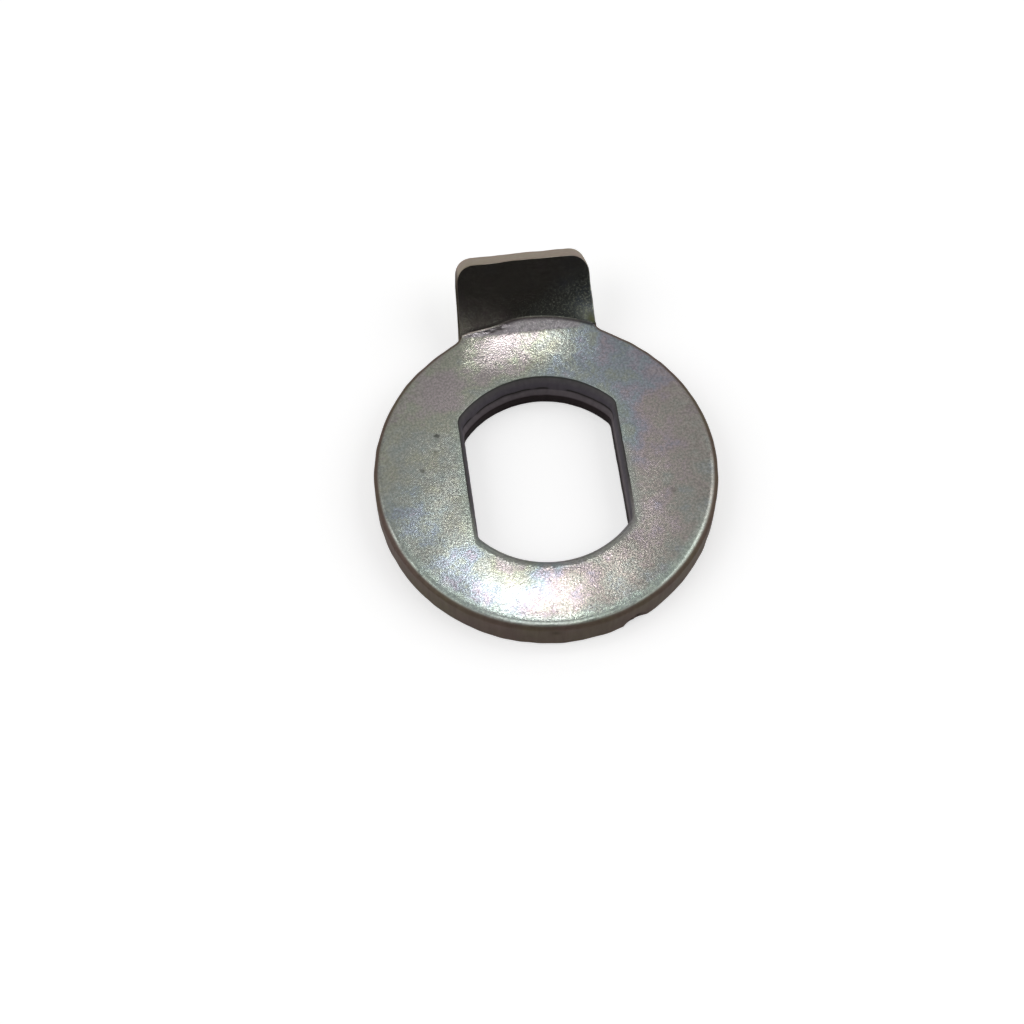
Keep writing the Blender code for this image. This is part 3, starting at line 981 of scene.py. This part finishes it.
def stretched(tree, share, start, end):
    """0 where share is at start, 1 where it is at end."""
    sockets = {"Value": share, "From Min": start, "From Max": end}
    return node(tree, "ShaderNodeMapRange", sockets).outputs["Result"]


def mixed(tree, factor, first, second, blend="MIX"):
    """The first colour, going over to the second or blended with it."""
    sockets = {0: factor, MIX_FIRST: first, MIX_SECOND: second}
    return node(tree, "ShaderNodeMix", sockets, data_type="RGBA", blend_type=blend).outputs[MIX_RESULT]


def toned(tree, colour, share, tones):
    """The colour, from one level of grey to another times as light as share goes from 0 to 1."""
    dark, light = tones
    return mixed(tree, 1.0, colour, mixed(tree, share, grey(dark), grey(light)), "MULTIPLY")


def grain(tree, place, scale, detail):
    """Noise from 0 to 1."""
    sockets = {"Vector": place, "Scale": scale, "Detail": detail}
    return node(tree, "ShaderNodeTexNoise", sockets).outputs["Fac"]


def share_of(tree, name):
    """One of the mesh's own shares, such as how much a point is a wall."""
    return node(tree, "ShaderNodeAttribute", {}, attribute_name=name).outputs["Fac"]


def changed(tree, start, changes):
    """start, plus each of the mesh's named shares times its change."""
    return sum_of(tree, start, [(share_of(tree, name), change) for name, change in changes.items()])


def coated(tree, under, coats):
    """The colour under, with each coat laid over it where its share of the mesh says."""
    for name, strength, colour in coats:
        under = mixed(tree, times(tree, share_of(tree, name), strength), under, colour)
    return under


def ramp_of(tree, share, colours, length):
    """A colour ramp as share goes from 0 to 1, from (place, colour) stops along this length."""
    ramp = node(tree, "ShaderNodeValToRGB", {"Fac": share})
    stops = ramp.color_ramp.elements
    for place, colour in colours[1:-1]:
        stops.new(place / length).color = colour
    stops[0].color = colours[0][1]
    stops[-1].color = colours[-1][1]
    return ramp.outputs["Color"]


# The plated steel

def film_colour(tree, place):
    """The clear passivation's faint interference colours, drifting over the plate and mottled."""
    noises = [
        (BROAD_FILM, BROAD_FILM_CHANGE), (SMALL_FILM, SMALL_FILM_CHANGE), (FINE_FILM, FINE_FILM_CHANGE),
    ]
    middle = sum(change for _, change in noises) / 2
    parts = [(share_of(tree, "film"), 1.0 / FILM_RANGE)]
    for settings, change in noises:
        parts.append((grain(tree, place, *settings), change / FILM_RANGE))
    shown = ramp_of(tree, sum_of(tree, -middle / FILM_RANGE, parts), FILM_COLOURS, FILM_RANGE)
    return mixed(tree, FILM_CALMED, shown, FILM_GREY)


def plate_colour(tree, place):
    """The top face and the tab's front: film, speckle, coats with a painted highlight on the rim, and on the
    tab painted glints, painted shade and a painted light patch.
    """
    film = coated(tree, film_colour(tree, place), COATS_UNDER_SPECKLE)
    speckle = stretched(tree, grain(tree, place, *SPECKLE), *SPECKLE_STRETCH)
    darkened_film = coated(tree, toned(tree, film, speckle, SPECKLE_TONES), [FACE_DARKENING_COAT])
    glints = stretched(tree, grain(tree, place, *GLINTS), *GLINT_STRETCH)
    # Painted glints on the tab's front, where its share and the glint noise say
    glinted = mixed(tree, times(tree, share_of(tree, "painted_glints"), glints), darkened_film, PAINTED_GLINT_COLOUR)
    return coated(tree, glinted, PAINTED_SHADE_AND_LIGHT_OVER_GLINTS)


def streaked(tree, streaks, drift, dark, light, other):
    """Dark streaks over two lighter colours that drift into each other."""
    return mixed(tree, streaks, dark, mixed(tree, drift, light, other))


def wall_colour(tree, place, streaks):
    """The sheared walls: brown outside with painted shade, paler at the tab's end partly as painted light,
    and banded by height in the hole, with painted shade low down.
    """
    drift = stretched(tree, grain(tree, place, *WALL_DRIFT), *DRIFT_STRETCH)
    outer = streaked(tree, streaks, drift, *OUTER_WALL_SHADED)
    end = streaked(tree, streaks, drift, *SHEARED_END_LIT)
    height = node(tree, "ShaderNodeSeparateXYZ", {0: place}).outputs["Z"]
    bands_and_shade = ramp_of(tree, times(tree, height, 1.0 / (THICKNESS * MM)), HOLE_COLOURS_AND_SHADE, THICKNESS)
    inner = toned(tree, bands_and_shade, streaks, STREAK_TONES)
    outer = mixed(tree, share_of(tree, "end"), outer, end)
    return mixed(tree, share_of(tree, "hole"), outer, inner)


def relief(tree, place, streaks):
    """The bump of the surface: fine and soft grain on the plate, streaks on the walls."""
    fine = grain(tree, place, *FINE_GRAIN)
    soft = grain(tree, place, *SOFT_GRAIN)
    grained = changed(tree, 1.0, GRAIN_CHANGES)
    height = sum_of(tree, 0.0, [
        (times(tree, fine, grained), 1.0), (times(tree, soft, grained), SOFT_GRAIN_SHARE),
        (times(tree, streaks, share_of(tree, "wall")), 1.0),
        (times(tree, fine, share_of(tree, "raised")), RAISED_GRAIN_SHARE),
    ])
    sockets = {"Height": height, "Distance": RELIEF_HEIGHT, "Strength": 1.0}
    return node(tree, "ShaderNodeBump", sockets).outputs["Normal"]


def plated_steel():
    """Zinc plate under a clear passivation: film colours on top, browner sheared walls."""
    material = bpy.data.materials.new("plated_steel_fine")
    material.use_nodes = True
    tree = material.node_tree
    surface = tree.nodes["Principled BSDF"]
    place = node(tree, "ShaderNodeTexCoord", {}).outputs["Object"]
    drawn = node(tree, "ShaderNodeMapping", {"Vector": place, "Scale": STREAK_DRAWN}).outputs[0]
    streaks = grain(tree, drawn, *STREAKS)
    plate, walls = plate_colour(tree, place), wall_colour(tree, place, streaks)
    # The dark share darkens the marks, and paints shade on the tab's sides and under the folds
    colour = coated(tree, mixed(tree, share_of(tree, "wall"), plate, walls), [DIRT_AND_SHADE_COAT])
    dulled = sum_of(tree, ROUGHNESS, [(grain(tree, place, *DULLNESS), DULL_ROUGHNESS)])
    tree.links.new(colour, surface.inputs["Base Color"])
    tree.links.new(changed(tree, dulled, ROUGHNESS_CHANGES), surface.inputs["Roughness"])
    tree.links.new(changed(tree, 1.0, METAL_CHANGES), surface.inputs["Metallic"])
    tree.links.new(relief(tree, place, streaks), surface.inputs["Normal"])
    surface.inputs["Specular IOR Level"].default_value = 0.0
    return material


# Stage

def pale_floor():
    """A floor that looks white to the camera and in reflections, but keeps the shadow."""
    material = bpy.data.materials.new("pale_floor")
    material.use_nodes = True
    tree = material.node_tree
    surface = tree.nodes["Principled BSDF"]
    surface.inputs["Base Color"].default_value = grey(FLOOR_GREY)
    surface.inputs["Roughness"].default_value = FLOOR_ROUGHNESS
    surface.inputs["Specular IOR Level"].default_value = 0.0
    surface.inputs["Emission Color"].default_value = grey(1.0)
    rays = node(tree, "ShaderNodeLightPath", {}).outputs
    glow = sum_of(tree, 0.0, [
        (rays["Is Camera Ray"], FLOOR_GLOW), (rays["Is Glossy Ray"], FLOOR_GLOW),
        (rays["Is Transmission Ray"], FLOOR_GLOW),
    ])
    tree.links.new(glow, surface.inputs["Emission Strength"])
    return material


def floor():
    mesh = bpy.data.meshes.new("floor")
    corners = [(-1.0, -1.0), (1.0, -1.0), (1.0, 1.0), (-1.0, 1.0)]
    mesh.from_pydata([(FLOOR_REACH * x, FLOOR_REACH * y, 0.0) for x, y in corners], [], [(0, 1, 2, 3)])
    mesh.materials.append(pale_floor())
    ground = bpy.data.objects.new("floor", mesh)
    bpy.context.scene.collection.objects.link(ground)


def camera():
    """The photograph's camera: its place on a sphere round the ring's centre, then a small turn."""
    flat = CAMERA_DISTANCE * math.cos(CAMERA_ELEVATION)
    place = Vector((
        flat * math.sin(CAMERA_AZIMUTH),
        -flat * math.cos(CAMERA_AZIMUTH),
        CAMERA_DISTANCE * math.sin(CAMERA_ELEVATION),
    ))
    look = -place.normalized()
    right = look.cross(Vector((0.0, 0.0, 1.0))).normalized()
    down = look.cross(right)
    turn = (
        Matrix.Rotation(CAMERA_ROLL, 3, "Z")
        @ Matrix.Rotation(CAMERA_TILT, 3, "X")
        @ Matrix.Rotation(CAMERA_PAN, 3, "Y")
    )
    right, down, look = turn @ Matrix((right, down, look))
    lens = bpy.data.cameras.new("camera")
    lens.sensor_width = SENSOR
    lens.lens = SENSOR * FOCAL_PIXELS / FRAME_SIDE
    lens.clip_start = NEAREST
    lens.clip_end = FURTHEST
    view = bpy.data.objects.new("camera", lens)
    view.matrix_world = (
        Matrix.Translation((place + Vector((*RING_CENTRE, 0.0))) * MM)
        @ Matrix((right, -down, -look)).transposed().to_4x4()
    )
    bpy.context.scene.collection.objects.link(view)
    bpy.context.scene.camera = view


def softbox(name, azimuth, elevation, distance, size, radiance):
    """A square lamp that faces the washer: azimuth 0 is behind the washer and 90 at its right."""
    light = bpy.data.lights.new(name, "AREA")
    light.shape = "SQUARE"
    light.size = size
    light.energy = 4.0 * radiance * size * size
    box = bpy.data.objects.new(name, light)
    around, above = math.radians(azimuth), math.radians(elevation)
    towards = Vector((
        math.sin(around) * math.cos(above), math.cos(around) * math.cos(above), math.sin(above)
    ))
    box.location = towards * distance
    box.rotation_euler = towards.to_track_quat("Z", "Y").to_euler()
    bpy.context.scene.collection.objects.link(box)


def world():
    """Bright sky behind and above, and a darker room on the camera's side."""
    sky = bpy.data.worlds.new("studio")
    sky.use_nodes = True
    tree = sky.node_tree
    direction = node(tree, "ShaderNodeTexCoord", {}).outputs["Generated"]
    back = node(tree, "ShaderNodeSeparateXYZ", {0: direction}).outputs["Y"]
    light = node(tree, "ShaderNodeMapRange", {
        "Value": back, "From Min": SKY_PLACES[0], "From Max": SKY_PLACES[1],
        "To Min": SKY_LIGHTS[0], "To Max": SKY_LIGHTS[1],
    }, interpolation_type="SMOOTHSTEP").outputs["Result"]
    tree.links.new(light, tree.nodes["Background"].inputs["Color"])
    bpy.context.scene.world = sky


bpy.context.scene.view_settings.view_transform = "Standard"
camera()
world()
floor()
for box in SOFTBOXES:
    softbox(*box)

washer = washer_object()
washer.data.materials.append(plated_steel())
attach(washer, "root")
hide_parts("lock_washer")
